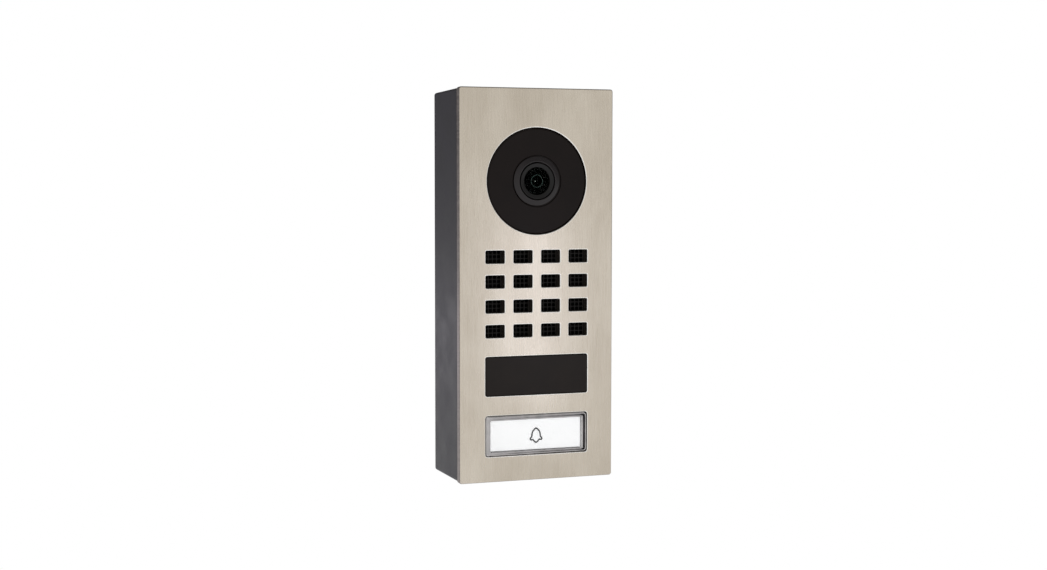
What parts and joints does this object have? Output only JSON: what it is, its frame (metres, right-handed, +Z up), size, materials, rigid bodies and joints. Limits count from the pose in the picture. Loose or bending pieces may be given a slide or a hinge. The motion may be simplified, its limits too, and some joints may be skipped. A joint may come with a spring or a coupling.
{
  "type": "door intercom panel",
  "caption": "Surface-mounted video door intercom with a brushed steel front, round camera disc, sound slots, sensor window and one call button with a name label.",
  "frame": {"origin": "centre of the housing's back face, on the wall", "axes": "+Z up, front plate faces -Y, +X to the right of a visitor facing the panel"},
  "size_m": [0.0784, 0.0398, 0.187],
  "materials": {
    "brushed_stainless": "vertical brushed grain, satin",
    "charcoal_coat": "fine satin powder coat",
    "tinted_plastic": "satin smoked",
    "dark_metal": "satin black",
    "black_plastic": "matte",
    "optical_glass": "coated",
    "clear_plastic": "clear",
    "white_plastic": "matte",
    "black_rubber": "matte",
    "grey_foam": "open-cell foam",
    "circuit_board": "solder mask",
    "chip_resin": "moulded",
    "zinc_plated_steel": "plated",
    "ferrite": "ground",
    "terminal_resin": "moulded",
    "copper": "flat"
  },
  "bodies": {
    "panel": {"front_plate": "brushed_stainless", "housing_gasket": "black_rubber", "wall_housing": "charcoal_coat", "cable_grommet": "black_rubber", "camera_bezel": "tinted_plastic", "bezel_seal": "black_rubber", "lens_ring": "dark_metal", "lens_barrel": "black_plastic", "lens_front_glass": "optical_glass", "aperture_ring": "dark_metal", "lens_rear_glass": "optical_glass", "lens_holder": "black_plastic", "image_sensor": "chip_resin", "camera_board": "circuit_board", "infrared_led_board": "circuit_board", "camera_ribbon": "copper", "speaker_guard": "black_plastic", "speaker_gasket": "grey_foam", "speaker_frame": "dark_metal", "speaker_cone": "black_plastic", "speaker_magnet": "ferrite", "microphone": "zinc_plated_steel", "microphone_boot": "black_rubber", "sensor_window": "tinted_plastic", "window_seal": "black_rubber", "reader_coil": "copper", "motion_sensor": "chip_resin", "reader_board": "circuit_board", "button_seal": "black_rubber", "button_guide": "black_plastic", "button_board": "circuit_board", "switch_body": "chip_resin", "button_spring_left": "zinc_plated_steel", "button_spring_right": "zinc_plated_steel", "button_led_left": "white_plastic", "button_led_right": "white_plastic", "module_chassis": "black_plastic", "main_board": "circuit_board", "terminal_block": "terminal_resin", "network_jack": "zinc_plated_steel", "power_transformer": "chip_resin", "processor_shield": "zinc_plated_steel", "door_relay": "chip_resin", "capacitor": "ferrite", "rear_cover": "black_plastic", "module_screw_top_left": "zinc_plated_steel", "security_screw_top_left": "zinc_plated_steel", "module_screw_top_right": "zinc_plated_steel", "security_screw_top_right": "zinc_plated_steel", "module_screw_bottom_left": "zinc_plated_steel", "security_screw_bottom_left": "zinc_plated_steel", "module_screw_bottom_right": "zinc_plated_steel", "security_screw_bottom_right": "zinc_plated_steel"},
    "call_button": {"button_cap": "clear_plastic", "name_label": "white_plastic", "button_diffuser": "white_plastic", "button_carrier": "black_plastic"},
    "switch_plunger": {"switch_plunger": "white_plastic"}
  },
  "joints": [
    {"name": "call_button_press", "type": "slide", "parent": "panel", "child": "call_button", "axis": [0, 1, 0], "range_m": [0, 0.0012], "stiffness_N_per_m": 1500, "springref_m": -0.0006, "deforming": ["button_spring_left", "button_spring_right"]},
    {"name": "switch_plunger_press", "type": "slide", "parent": "panel", "child": "switch_plunger", "axis": [0, 1, 0], "range_m": [0, 0.0012]}
  ],
  "couplings": [
    {"joint": "switch_plunger_press", "follows": "call_button_press", "ratio": 1}
  ]
}
